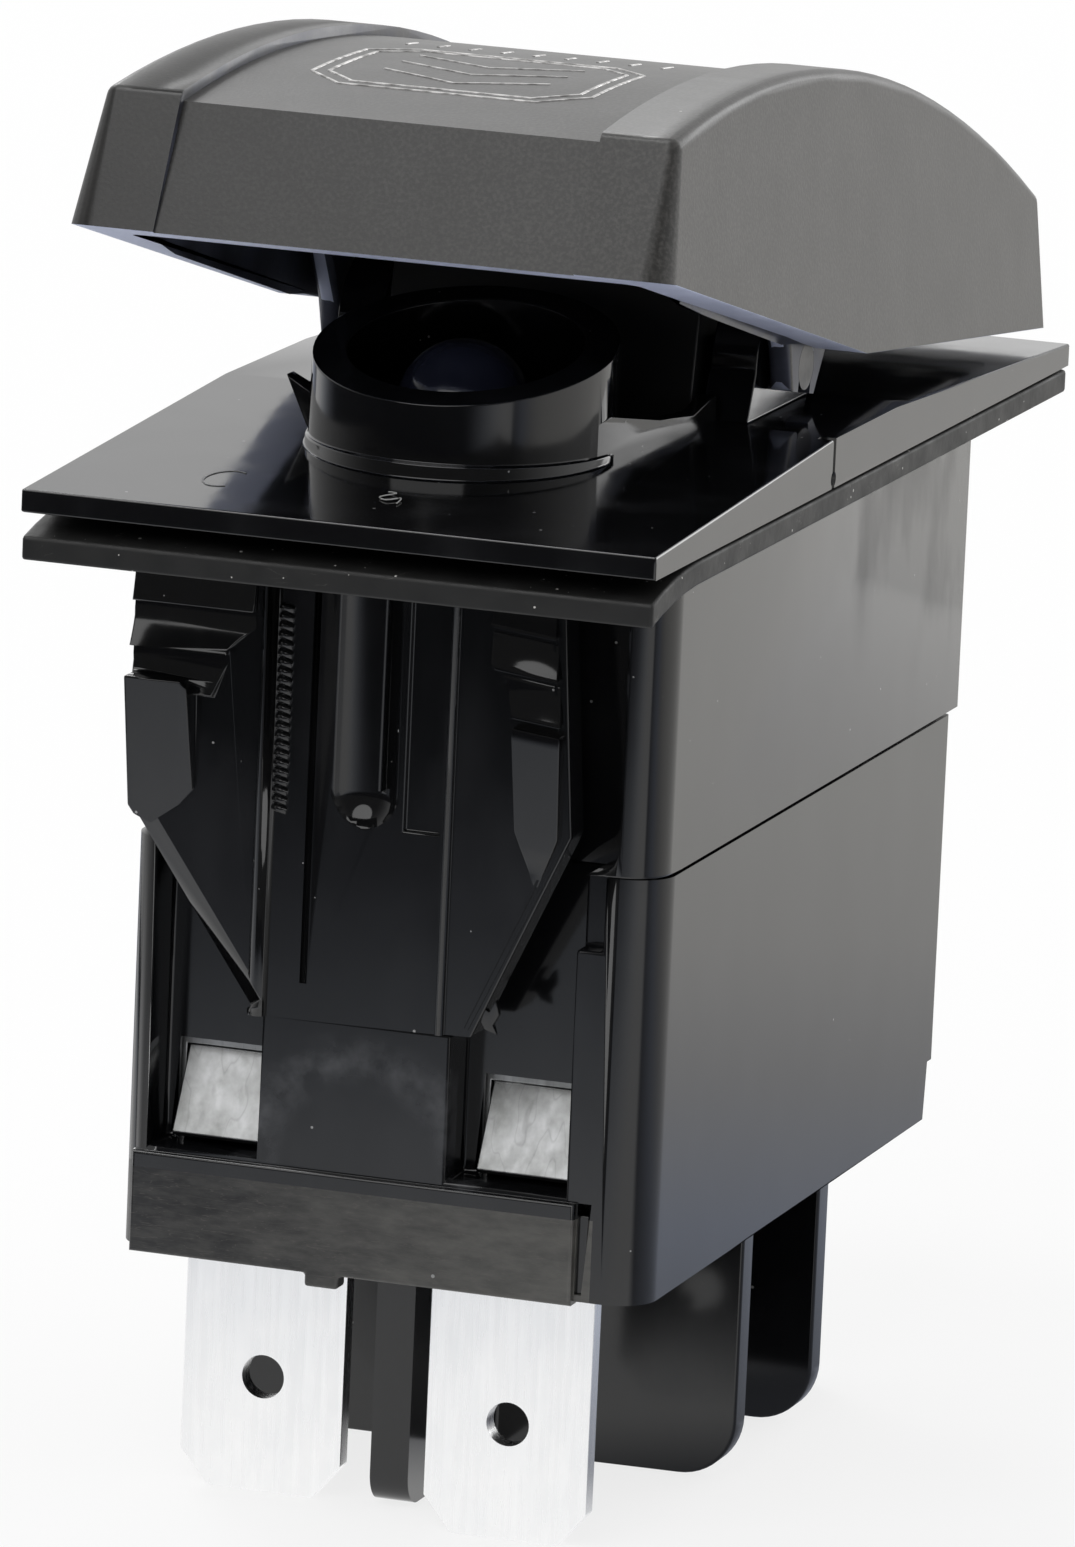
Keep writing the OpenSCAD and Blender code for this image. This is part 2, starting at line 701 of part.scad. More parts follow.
module common_terminal() {
    top = load_contact_z;
    neck = top - 6.9;
    ear_x = contact_w / 2 - 0.6;
    ear_h = 1.2;
    color([0.85, 0.86, 0.88]) {
        blade(-blade_x, 0, neck);
        block([-blade_x - blade_w / 2, -blade_t / 2, neck - e], [-blade_x + blade_w / 2, blade_t / 2, top]);
        for (s = [-1, 1])
            block([-pole_x + s * ear_x - 0.3, -blade_t / 2, top - 1],
                  [-pole_x + s * ear_x + 0.3, blade_t / 2, top + ear_h]);
    }
}

module load_terminal() {
    color([0.85, 0.86, 0.88]) {
        blade(-blade_x, rear_blade_y, load_shelf_z);
        difference() {
            block([-pole_x - 2.4, load_contact_y - 1.9, load_shelf_z - blade_t],
                  [-pole_x + 2.4, rear_blade_y + blade_t / 2, load_shelf_z]);
            translate([-pole_x, load_contact_y, 0])
                cylinder(h = 60, r = rivet_shank_r, center = true, $fn = 32);
        }
    }
}

module fixed_contact() {
    color([0.9, 0.88, 0.8]) translate([-pole_x, load_contact_y, load_shelf_z]) {
        cylinder(h = rivet_t, r = rivet_r, $fn = 48);
        translate([0, 0, -blade_t]) cylinder(h = blade_t + e, r = rivet_shank_r, $fn = 32);
    }
}

// ---------------------------------------------------------------- moving contact

// The bent strip, from the middle to one end, notched for the ears of its terminal
module contact_arm() {
    notch_w = 1.2;
    rotate([arm_slope, 0, 0]) difference() {
        block([-contact_w / 2, 0, 0], [contact_w / 2, arm_l, arm_t]);
        for (s = [-1, 1])
            translate([s * (contact_w / 2 - notch_w / 2), 0, 0])
                block([-notch_w / 2, -2, -2], [notch_w / 2 + 0.1, 0.9, 4]);
    }
}

module contact_rocker() {
    color([0.8, 0.55, 0.35]) contact_at_rest() difference() {
        union() {
            contact_arm();
            mirror([0, 1, 0]) contact_arm();
        }
        rotate([arm_slope, 0, 0]) translate([0, rivet_at, -1]) cylinder(h = 4, r = rivet_shank_r, $fn = 32);
    }
}

module moving_contact() {
    color([0.9, 0.88, 0.8]) contact_at_rest() rotate([arm_slope, 0, 0]) translate([0, rivet_at, 0]) {
        translate([0, 0, -rivet_t]) cylinder(h = rivet_t, r = rivet_r, $fn = 48);
        cylinder(h = arm_t, r = rivet_shank_r, $fn = 32);
    }
}

// ---------------------------------------------------------------- rocker

// Half the width of the cap at a height in its own frame
function cap_half_w(z) = cap_w / 2 - (z - cap_corner_z) * cap_draft;

// Height of the arched top at a given y
function arch_z(y) = cap_top_z - cap_arch_r + sqrt(cap_arch_r ^ 2 - y ^ 2);

// The cap's closed outer form, drawn in by a wall
module cap_form(inset) {
    steps = 24;
    half_l = cap_l / 2 - inset;
    shoulder = cap_shoulder_l / 2 - inset;
    r = cap_corner_r;
    hull() for (s = [-1, 1]) {
        for (t = [-1, 1]) {
            translate([s * (cap_half_w(cap_corner_z) - inset - r), t * (half_l - r), cap_corner_z])
                cylinder(h = 0.02, r = r, $fn = 48);
            translate([s * (cap_half_w(cap_shoulder_z) - inset - r), t * (shoulder - r),
                       arch_z(shoulder) - inset - cap_edge_r])
                cylinder(h = 0.02, r = r, $fn = 48);
        }
        translate([s * (cap_half_w(cap_middle_z) - inset - 0.2), 0, cap_middle_z])
            cylinder(h = 0.02, r = 0.2, $fn = 16);
        for (i = [0:steps]) let (y = (shoulder - cap_edge_r) * (2 * i / steps - 1))
            translate([s * (cap_half_w(arch_z(y)) - inset - cap_edge_r), y, arch_z(y) - inset - cap_edge_r])
                sphere(cap_edge_r, $fn = 24);
    }
}

// The side view of the middle panel, drawn in from the outer form
module panel_profile(inset) {
    steps = 24;
    top = [for (i = [-steps:steps]) let (y = i / steps * (cap_shoulder_l / 2 - inset)) [y, arch_z(y) - inset]];
    foot = cap_corner_z - 0.2;
    polygon(concat([[-cap_l / 2 + inset, foot]], top, [[cap_l / 2 - inset, foot], [0, cap_middle_z - 2]]));
}

module rocker_cap() {
    panel_w = 2 * (cap_half_w(cap_shoulder_z) - rail_w);
    color([0.2, 0.2, 0.2]) at_rest() {
        difference() {
            cap_form(0);
            difference() {
                side_profile(-panel_w / 2, panel_w / 2) panel_profile(-3);
                side_profile(-panel_w, panel_w) panel_profile(panel_recess);
            }
            cap_form(cap_wall + panel_recess / 2);
            translate([0, 0, -cap_middle_z])
                rounded_block(cap_w - 2 * cap_wall - 0.4, cap_l - 2 * cap_wall - 1, 0, 3, 0.6, 0.6);
        }
        for (s = [-1, 1]) pivot_ear(s);
    }
}

// A leg of the cap that clips over the end of a trunnion
module pivot_ear(s) {
    x0 = s > 0 ? ear_x0 : -ear_x0 - ear_t;
    top = cap_top_z - cap_wall - panel_recess + 0.1;
    difference() {
        side_profile(x0, x0 + ear_t)
            polygon([[-1.6, ear_foot_z], [1.6, ear_foot_z], [2.4, 0.6], [4.5, 3],
                     [4.5, top], [-4.5, top], [-4.5, 3], [-2.4, 0.6]]);
        rotate([0, 90, 0]) cylinder(h = 40, r = trunnion_r + 0.02, center = true, $fn = 48);
        block([-20, -trunnion_r * 0.8, -3], [20, trunnion_r * 0.8, 0]);
    }
}

module actuator() {
    color([0.1, 0.1, 0.1]) at_rest() difference() {
        union() {
            block([-cradle_w / 2, -cradle_l / 2, -3], [cradle_w / 2, cradle_l / 2, cap_top_z - cap_wall - 0.6]);
            rotate([0, 90, 0])
                cylinder(h = 2 * (ear_x0 + ear_t), r = trunnion_r, center = true, $fn = 48);
            translate([plunger_x, 0, guide_end]) cylinder(h = -guide_end, r = guide_r, $fn = 64);
        }
        translate([plunger_x, 0, guide_end - 1])
            cylinder(h = spring_top + 0.1 - guide_end + 1, r = plunger_r + slide_fit, $fn = 48);
    }
}

module plunger() {
    color([0.85, 0.83, 0.78]) at_rest() translate([plunger_x, 0, plunger_tip + plunger_r]) {
        cylinder(h = plunger_top - plunger_tip - plunger_r, r = plunger_r, $fn = 48);
        sphere(plunger_r, $fn = 48);
    }
}

// The spring's turns follow a helix between the plunger and the top of its bore
module plunger_spring() {
    r = plunger_r - spring_wire_r - 0.08;
    z0 = plunger_top + spring_wire_r;
    z1 = spring_top - spring_wire_r;
    per_turn = 12;
    count = spring_turns * per_turn;
    sides = 6;
    function centre(i) = [r * cos(360 * i / per_turn), r * sin(360 * i / per_turn), z0 + (z1 - z0) * i / count];
    function ring(i) = [for (k = [0:sides - 1]) let (a = 360 * k / sides, b = 360 * i / per_turn)
        centre(i) + spring_wire_r * [cos(a) * cos(b), cos(a) * sin(b), sin(a)]];
    points = [for (i = [0:count]) each ring(i)];
    walls = [for (i = [0:count - 1], k = [0:sides - 1]) let (n = (k + 1) % sides)
        [i * sides + k, i * sides + n, (i + 1) * sides + n, (i + 1) * sides + k]];
    first = [for (k = [sides - 1:-1:0]) k];
    last = [for (k = [0:sides - 1]) count * sides + k];
    color([0.75, 0.76, 0.78]) at_rest() translate([plunger_x, 0, 0])
        polyhedron(points, concat([first], walls, [last]), convexity = 4);
}

// ---------------------------------------------------------------- lamps

// A lamp: lens, body and rim
module lamp(y) {
    translate([0, y, lamp_rim_z - lamp_rim_t]) {
        cylinder(h = lamp_dome_z - lamp_rim_z + lamp_rim_t, r = lamp_r, $fn = 64);
        cylinder(h = lamp_rim_t, r = lamp_r + 0.4, $fn = 64);
    }
    translate([0, y, lamp_dome_z]) sphere(lamp_r, $fn = 64);
}

module resistor(y) {
    translate([lead_x, y, resistor_z1 - resistor_l]) cylinder(h = resistor_l, r = resistor_r, $fn = 48);
}

// The two legs of a lamp, one of them through its resistor, to the terminals
module lead_wires(y, terminal_y) {
    top = lamp_rim_z - lamp_rim_t;
    spread = 6;
    rod([-lead_x, y, top], [-lead_x, y, lead_knee_z], lead_r);
    rod([-lead_x, y, lead_knee_z + lead_r], [-spread, terminal_y, lead_z], lead_r);
    rod([lead_x, y, top], [lead_x, y, resistor_z1], lead_r);
    rod([lead_x, y, resistor_z1 - resistor_l], [lead_x, y, lead_knee_z], lead_r);
    rod([lead_x, y, lead_knee_z + lead_r], [spread, terminal_y, lead_z], lead_r);
}

module led_front() { color([0.35, 0.37, 0.5]) lamp(-lamp_y); }
module led_rear() { color([0.35, 0.37, 0.5]) lamp(lamp_y); }
module resistor_front() { color([0.75, 0.65, 0.5]) resistor(-lamp_y); }
module resistor_rear() { color([0.75, 0.65, 0.5]) resistor(lamp_y); }

module lead_wires_front() {
    color([0.8, 0.8, 0.82]) lead_wires(-lamp_y, lamp_plate_y + blade_t / 2 + lead_r);
}

module lead_wires_rear() {
    color([0.8, 0.8, 0.82]) lead_wires(lamp_y, rear_blade_y + blade_t / 2 + lead_r);
}

// ---------------------------------------------------------------- output

rocker_cap();
actuator();
plunger();
plunger_spring();
bracket();
panel_gasket();
base();
led_front();
led_rear();
lead_wires_front();
lead_wires_rear();
resistor_front();
resistor_rear();
lamp_terminal_left();
lamp_terminal_right();
rear_lamp_terminal();
common_terminal();
load_terminal();
contact_rocker();
moving_contact();
fixed_contact();
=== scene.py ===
"""Looks of the panel rocker switch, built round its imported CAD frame. Units are metres."""
import math

import bmesh
import bpy
from mathutils import Matrix, Vector
from mathutils.bvhtree import BVHTree


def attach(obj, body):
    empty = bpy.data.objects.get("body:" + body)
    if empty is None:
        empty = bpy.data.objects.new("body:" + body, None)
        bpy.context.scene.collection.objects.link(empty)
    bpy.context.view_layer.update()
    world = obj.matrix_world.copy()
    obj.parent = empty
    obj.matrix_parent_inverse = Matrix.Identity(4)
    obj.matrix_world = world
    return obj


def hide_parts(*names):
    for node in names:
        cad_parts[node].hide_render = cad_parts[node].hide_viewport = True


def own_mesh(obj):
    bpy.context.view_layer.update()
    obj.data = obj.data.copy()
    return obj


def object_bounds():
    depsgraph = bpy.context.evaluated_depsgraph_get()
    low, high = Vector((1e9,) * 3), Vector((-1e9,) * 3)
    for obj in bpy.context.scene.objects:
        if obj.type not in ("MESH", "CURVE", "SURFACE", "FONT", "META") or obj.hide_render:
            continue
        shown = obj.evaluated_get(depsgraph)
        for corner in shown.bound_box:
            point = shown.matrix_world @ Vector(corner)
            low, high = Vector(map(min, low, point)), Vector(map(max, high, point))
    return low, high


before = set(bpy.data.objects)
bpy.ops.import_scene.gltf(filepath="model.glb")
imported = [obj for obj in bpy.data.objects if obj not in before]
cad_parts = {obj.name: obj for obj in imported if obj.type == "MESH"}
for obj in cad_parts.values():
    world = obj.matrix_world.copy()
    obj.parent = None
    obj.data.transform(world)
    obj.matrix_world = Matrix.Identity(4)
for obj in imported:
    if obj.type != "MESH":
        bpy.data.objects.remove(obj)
cad_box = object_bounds()
MM = 0.001

# ---------------------------------------------------------------- camera


def make_camera():
    """A long lens at the photograph's angle: right, up and back are the camera's own axes."""
    right = Vector((0.94368, 0.32799, 0.04348))
    up = Vector((-0.10808, 0.18138, 0.97745))
    back = Vector((0.31271, -0.92710, 0.20662))
    data = bpy.data.cameras.new("camera")
    data.sensor_fit = "HORIZONTAL"
    data.sensor_width = 36.0
    data.lens = 441.45
    data.shift_x = -0.00736
    data.shift_y = 0.00566
    data.clip_start = 0.01
    data.clip_end = 50.0
    camera = bpy.data.objects.new("camera", data)
    bpy.context.scene.collection.objects.link(camera)
    rotation = Matrix((right, up, back)).transposed().to_4x4()
    camera.matrix_world = Matrix.Translation((0.15554, -0.46167, 0.08966)) @ rotation
    bpy.context.scene.camera = camera


# ---------------------------------------------------------------- material helpers


class Nodes:
    """A short way to write a material's node tree."""

    MIX_A, MIX_B, MIX_RESULT = 6, 7, 2  # the Mix node's colour sockets

    def __init__(self, name):
        self.material = bpy.data.materials.new(name)
        self.material.use_nodes = True
        self.tree = self.material.node_tree
        self.shader = self.tree.nodes["Principled BSDF"]

    def put(self, socket, value):
        """Links or sets one socket."""
        if isinstance(value, bpy.types.NodeSocket):
            self.tree.links.new(value, socket)
        else:
            socket.default_value = value

    def set(self, **inputs):
        """Links or sets the shader's own sockets, by their names with an underscore for each space."""
        for key, value in inputs.items():
            self.put(self.shader.inputs[key.replace("_", " ")], value)

    def math(self, operation, *values):
        node = self.tree.nodes.new("ShaderNodeMath")
        node.operation = operation
        for socket, value in zip(node.inputs, values):
            self.put(socket, value)
        return node.outputs[0]

    def place(self):
        """Place on the object, in millimetres."""
        coords = self.tree.nodes.new("ShaderNodeTexCoord")
        return self.scaled(coords.outputs["Object"], (1 / MM,) * 3)

    def scaled(self, vector, factors):
        node = self.tree.nodes.new("ShaderNodeVectorMath")
        node.operation = "MULTIPLY"
        self.put(node.inputs[0], vector)
        node.inputs[1].default_value = factors
        return node.outputs[0]

    def axis(self, vector, letter):
        node = self.tree.nodes.new("ShaderNodeSeparateXYZ")
        self.put(node.inputs[0], vector)
        return node.outputs[letter]

    def noise(self, vector, scale, detail=2.0, roughness=0.5):
        node = self.tree.nodes.new("ShaderNodeTexNoise")
        self.put(node.inputs["Vector"], vector)
        node.inputs["Scale"].default_value = scale
        node.inputs["Detail"].default_value = detail
        node.inputs["Roughness"].default_value = roughness
        return node.outputs["Fac"]

    def ramp(self, factor, *stops):
        """Colour along a factor from stops of position and colour."""
        node = self.tree.nodes.new("ShaderNodeValToRGB")
        self.put(node.inputs["Fac"], factor)
        elements = node.color_ramp.elements
        while len(elements) < len(stops):
            elements.new(0.5)
        for element, (position, colour) in zip(elements, stops):
            element.position = position
            element.color = (*colour, 1.0)
        return node.outputs["Color"]

    def span(self, value, low, high, out_low=0.0, out_high=1.0):
        """The value's place between low and high, held at the ends."""
        node = self.tree.nodes.new("ShaderNodeMapRange")
        for name, number in zip(("Value", "From Min", "From Max", "To Min", "To Max"),
                                (value, low, high, out_low, out_high)):
            self.put(node.inputs[name], number)
        return node.outputs["Result"]

    def mix(self, factor, a, b):
        node = self.tree.nodes.new("ShaderNodeMix")
        node.data_type = "RGBA"
        self.put(node.inputs["Factor"], factor)
        for socket, value in ((node.inputs[self.MIX_A], a), (node.inputs[self.MIX_B], b)):
            if isinstance(value, tuple):
                value = (*value, 1.0)
            self.put(socket, value)
        return node.outputs[self.MIX_RESULT]

    def band(self, value, low, high, soft):
        """1 between low and high, fading to 0 over soft on either side."""
        rise = self.span(value, low - soft, low + soft)
        fall = self.span(value, high - soft, high + soft, 1.0, 0.0)
        return self.math("MULTIPLY", rise, fall)

    def dust(self, place, cell, radius):
        """Specks of this radius, about one in each cell of space."""
        node = self.tree.nodes.new("ShaderNodeTexVoronoi")
        self.put(node.inputs["Vector"], place)
        node.inputs["Scale"].default_value = 1 / cell
        size = self.span(self.noise(place, 0.7, 0.0), 0.35, 0.65, 0.3 * radius / cell, radius / cell)
        return self.math("LESS_THAN", node.outputs["Distance"], size)

    def bump(self, height, distance):
        node = self.tree.nodes.new("ShaderNodeBump")
        node.inputs["Strength"].default_value = 1.0
        node.inputs["Distance"].default_value = distance
        self.put(node.inputs["Height"], height)
        return node.outputs["Normal"]


# ---------------------------------------------------------------- materials


def moulded_black(name, colour, roughness, cell=1.05):
    """A glossy black moulding with faint flow waves, hazy patches and a few specks of dust.

    Gives back its nodes, its place and its shade, for marks on top of it.
    """
    m = Nodes(name)
    place = m.place()
    haze = m.span(m.noise(m.scaled(place, (1, 1, 0.45)), 0.35, 3.0), 0.48, 0.72)
    pale = tuple(2.2 * c + 0.002 for c in colour)
    shade = m.mix(m.math("MULTIPLY", haze, 0.6), colour, pale)
    m.set(Base_Color=m.mix(m.dust(place, cell, 0.055), shade, (0.30, 0.30, 0.30)))
    m.set(Roughness=m.math("ADD", m.math("MULTIPLY", haze, 0.07), roughness))
    m.set(Normal=m.bump(m.noise(place, 0.25, 1.0), 0.010 * MM))
    m.set(Specular_IOR_Level=0.58)
    return m, place, shade


# Places on the base's front in millimetres: where the front begins, the foot band's top and right end,
# and the frosted arc's middle
FRONT_Y = -16.4
BAND_TOP, BAND_END = -25.55, 8.3
ARC_X, ARC_Z = -0.9, -24.6


def base_black():
    """The base's black, with a frosted arc on the middle column and a rubbed band along the foot."""
    gloss = 0.11
    m, place, shade = moulded_black("base_gloss", (0.0052, 0.0054, 0.0062), gloss)
    x, y, z = (m.axis(place, letter) for letter in "XYZ")
    front = m.math("LESS_THAN", y, FRONT_Y)
    foot = m.math("MULTIPLY", front, m.math("LESS_THAN", z, BAND_TOP))
    foot = m.math("MULTIPLY", foot, m.math("LESS_THAN", x, BAND_END))
    grain = m.noise(m.scaled(place, (0.5, 1, 1.6)), 1.1, 5.0, 0.65)
    scratch = m.band(m.noise(m.scaled(place, (0.30, 1, 3.2)), 1.7, 2.0), 0.495, 0.505, 0.006)
    rubbed = m.math("MULTIPLY", foot, m.span(m.math("ADD", m.math("MULTIPLY", x, 0.03), grain), 0.15, 0.95))
    across, up = m.math("ADD", x, -ARC_X), m.math("ADD", z, -ARC_Z)
    arc = m.math("POWER", m.math("ADD", m.math("MULTIPLY", across, across), m.math("POWER", up, 2.0)), 0.5)
    frost = m.math("MULTIPLY", m.math("MULTIPLY", front, m.band(arc, 3.4, 4.6, 0.6)),
                   m.span(m.noise(place, 0.8, 4.0), 0.40, 0.70))
    frost = m.math("MULTIPLY", frost, m.math("GREATER_THAN", z, -25.0))
    shade = m.mix(frost, shade, (0.072, 0.074, 0.080))
    shade = m.mix(rubbed, shade, (0.110, 0.107, 0.098))
    shade = m.mix(m.math("MULTIPLY", m.math("MULTIPLY", scratch, foot), 0.5), shade, (0.11, 0.10, 0.09))
    shade = m.mix(m.dust(place, 2.6, 0.07), shade, (0.3, 0.3, 0.3))
    m.set(Base_Color=shade)
    rough = m.math("ADD", m.math("MULTIPLY", foot, 0.24), m.math("MULTIPLY", frost, 0.2))
    m.set(Roughness=m.math("ADD", rough, gloss))
    return m.material


def cap_paint():
    """Satin paint with a fine orange peel, with painted shade at the front left and painted light at the rear
    right.
    """
    m = Nodes("cap_paint")
    place = m.place()
    cloud = m.noise(place, 0.35, 3.0)
    fine = m.noise(place, 7.0, 2.0)
    paint = m.mix(cloud, (0.018, 0.0175, 0.0165), (0.028, 0.027, 0.025))
    paint = m.mix(m.span(fine, 0.42, 0.72), paint, (0.052, 0.050, 0.047))
    # in millimetres from the middle towards the rear right
    reach = m.math("ADD", m.axis(place, "X"), m.math("MULTIPLY", m.axis(place, "Y"), 0.7))
    # painted shade: the paint darkens towards the front left
    paint = m.mix(m.span(reach, -30.0, -4.0), (0.011, 0.0105, 0.010), paint)
    # painted light: the paint grows paler towards the rear right
    paint = m.mix(m.math("MULTIPLY", m.span(reach, 0.0, 28.0), 0.5), paint, (0.070, 0.068, 0.064))
    m.set(Base_Color=m.mix(m.dust(place, 3.0, 0.07), paint, (0.35, 0.34, 0.33)))
    m.set(Roughness=m.span(cloud, 0.3, 0.7, 0.38, 0.42))
    m.set(Normal=m.bump(fine, 0.007 * MM))
    m.set(Specular_IOR_Level=0.55)
    return m.material


def bare_plastic():
    """The cap's own pale plastic, which the paint leaves bare along the lower rim."""
    m = Nodes("bare_plastic")
    place = m.place()
    cloud = m.noise(place, 0.6, 3.0)
    m.set(Base_Color=m.mix(cloud, (0.46, 0.51, 0.70), (0.62, 0.66, 0.84)))
    m.set(Roughness=m.span(cloud, 0.3, 0.7, 0.30, 0.42))
    m.set(Normal=m.bump(m.noise(place, 3.0, 2.0), 0.006 * MM))
    return m.material


def inside_plastic_painted_shade():
    """The same plastic inside the cap, darkened with painted shade."""
    m = Nodes("inside_plastic_painted_shade")
    place = m.place()
    cloud = m.span(m.noise(place, 0.5, 4.0), 0.35, 0.65)
    # painted shade: dark tones for the shaded inside of the cap
    m.set(Base_Color=m.mix(cloud, (0.030, 0.032, 0.042), (0.075, 0.082, 0.115)))
    m.set(Roughness=m.span(cloud, 0.0, 1.0, 0.30, 0.45))
    m.set(Normal=m.bump(m.noise(place, 2.0, 3.0), 0.010 * MM))
    return m.material


def silver_line():
    """Silver foil line, worn dull in places."""
    m = Nodes("silver_line")
    place = m.place()
    worn = m.span(m.noise(place, 2.4, 4.0), 0.35, 0.62)
    m.set(Base_Color=m.mix(worn, (0.20, 0.195, 0.19), (0.62, 0.61, 0.60)))
    m.set(Roughness=m.span(worn, 0.0, 1.0, 0.45, 0.30))
    m.set(Metallic=0.4)
    return m.material


def rubber():
    """Dull black rubber with a soft bloom and short pale lint."""
    m = Nodes("rubber")
    place = m.place()
    cloud = m.noise(place, 0.8, 4.0)
    lint = m.math("MULTIPLY", m.band(m.noise(m.scaled(place, (0.6, 1, 2)), 1.6, 2.0), 0.498, 0.502, 0.003),
                  m.span(m.noise(place, 0.9, 1.0), 0.62, 0.70))
    shade = m.mix(cloud, (0.007, 0.007, 0.007), (0.016, 0.016, 0.0155))
    shade = m.mix(m.math("MULTIPLY", lint, 0.7), shade, (0.34, 0.33, 0.31))
    m.set(Base_Color=m.mix(m.dust(place, 0.60, 0.06), shade, (0.50, 0.49, 0.47)))
    m.set(Roughness=m.span(cloud, 0.3, 0.7, 0.50, 0.66))
    m.set(Normal=m.bump(m.noise(place, 3.0, 4.0), 0.015 * MM))
    return m.material


def metal(name, colour, roughness, brush=(1, 1, 0.08)):
    """Plated sheet with fine lengthwise brushing and small stains."""
    m = Nodes(name)
    place = m.place()
    lines = m.noise(m.scaled(place, brush), 5.0, 3.0)
    stain = m.noise(m.scaled(place, (1.4, 1, 0.7)), 0.55, 4.0)
    dark = tuple(0.80 * c for c in colour)
    shade = m.mix(m.span(stain, 0.50, 0.72), colour, dark)
    m.set(Base_Color=m.mix(m.dust(place, 2.2, 0.06), shade, tuple(0.35 * c for c in colour)))
    m.set(Metallic=1.0)
    m.set(Roughness=m.span(lines, 0.3, 0.7, roughness * 0.85, roughness * 1.2))
    m.set(Normal=m.bump(m.noise(m.scaled(place, brush), 1.4, 2.0), 0.006 * MM))
    return m.material


# The height that parts the sprung lances from the blades, in millimetres
LANCE_Z = -27.0


def tinned_sheet():
    """Bright tinned blades; the sprung lances above LANCE_Z are much darker, rougher, mottled and lightly
    scored.
    """
    m = Nodes("tinned_brass")
    place = m.place()
    lance_zone = m.math("GREATER_THAN", m.axis(place, "Z"), LANCE_Z)
    cloud = m.span(m.noise(m.scaled(place, (0.9, 1, 0.6)), 0.9, 4.0, 0.6), 0.36, 0.66)
    score = m.band(m.noise(m.scaled(place, (1.6, 1, 0.07)), 0.9, 1.0), 0.49, 0.51, 0.012)
    lance = m.mix(cloud, (0.29, 0.295, 0.29), (0.46, 0.465, 0.47))
    lance = m.mix(m.math("MULTIPLY", score, 0.3), lance, (0.17, 0.17, 0.17))
    blade = m.mix(cloud, (0.93, 0.935, 0.94), (0.97, 0.97, 0.97))
    m.set(Base_Color=m.mix(lance_zone, blade, lance))
    m.set(Metallic=1.0)
    lines = m.noise(m.scaled(place, (1, 1, 0.06)), 4.0, 3.0)
    m.set(Roughness=m.math("ADD", m.span(lines, 0.3, 0.7, 0.24, 0.30), m.math("MULTIPLY", lance_zone, 0.14)))
    m.set(Normal=m.bump(m.noise(m.scaled(place, (1, 1, 0.3)), 0.7, 2.0), 0.004 * MM))
    return m.material


def plain_plastic(name, colour, roughness):
    """Moulded plastic with a soft cloud of shade and gloss."""
    m = Nodes(name)
    place = m.place()
    cloud = m.noise(place, 1.2, 3.0)
    dark = tuple(0.85 * c for c in colour)
    m.set(Base_Color=m.mix(cloud, dark, colour))
    m.set(Roughness=m.span(cloud, 0.3, 0.7, roughness * 0.85, roughness * 1.15))
    m.set(Normal=m.bump(m.noise(place, 4.0, 2.0), 0.006 * MM))
    return m.material


def lens():
    """Smoked slate-blue epoxy."""
    m = Nodes("lens")
    place = m.place()
    m.set(Base_Color=m.mix(m.noise(place, 1.0, 1.0), (0.018, 0.021, 0.040), (0.030, 0.034, 0.060)))
    m.set(Roughness=m.span(m.noise(place, 2.0, 2.0), 0.3, 0.7, 0.10, 0.16))
    m.set(Specular_IOR_Level=0.6)
    return m.material


# ---------------------------------------------------------------- softened mouldings


def joined_copy(node):
    """The node's solid with its faces joined up."""
    flat = math.radians(0.6)
    edit = bmesh.new()
    edit.from_mesh(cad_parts[node].data)
    bmesh.ops.remove_doubles(edit, verts=edit.verts, dist=0.0005 * MM)
    bmesh.ops.dissolve_limit(edit, angle_limit=flat, verts=edit.verts, edges=edit.edges)
    return edit


def round_edges(edit, width, segments=2, sharp=25.0, keep=lambda edge: False):
    """Rounds the edges sharper than sharp degrees, apart from short ones and those to keep."""
    least = 2.2 * width  # the rounding would eat up anything shorter
    edges = []
    for edge in edit.edges:
        if edge.calc_face_angle(0) < math.radians(sharp) or edge.calc_length() < least or keep(edge):
            continue
        near = [e for vertex in edge.verts for e in vertex.link_edges if e is not edge]
        if min(e.calc_length() for e in near) >= least:
            edges.append(edge)
    bmesh.ops.bevel(edit, geom=edges, offset=width, offset_type="OFFSET", segments=segments, profile=0.5,
                    affect="EDGES", clamp_overlap=False, loop_slide=True, miter_outer="SHARP")
    return edit


def rounded_copy(node, width, segments=2):
    """The node's solid with its edges rounded."""
    return round_edges(joined_copy(node), width, segments)


def add_piece(name, edit, materials, body, node=None, crease=40.0):
    """A shown piece from an edited mesh, shaded smooth except at its creases."""
    mesh = bpy.data.meshes.new(name)
    edit.to_mesh(mesh)
    edit.free()
    for material in materials:
        mesh.materials.append(material)
    mesh.shade_smooth()
    mesh.set_sharp_from_angle(angle=math.radians(crease))
    piece = bpy.data.objects.new(name, mesh)
    bpy.context.scene.collection.objects.link(piece)
    normals = piece.modifiers.new("normals", "WEIGHTED_NORMAL")
    normals.keep_sharp = True
    normals.weight = 80
    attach(piece, body)
    if node:
        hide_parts(node)
    return piece


# The rocker's pivot and its tilt at rest
PIVOT = Vector((0, 0, 3.6 * MM))
TILT = Matrix.Rotation(math.radians(-10.5), 3, "X")


def cap_frame(point):
    """A point of the tilted cap, in millimetres in the cap's own level frame."""
    return (TILT.transposed() @ (point - PIVOT)) / MM


def from_cap_frame(x, y, z):
    """The way back: a point given in the cap's own level frame."""
    return TILT @ (Vector((x, y, z)) * MM) + PIVOT


def on_panel_step(edge):
    """Whether an edge of the cap runs along the step between its panel and a rail."""
    return all(7.5 < abs(cap_frame(vertex.co).x) < 8.3 for vertex in edge.verts)


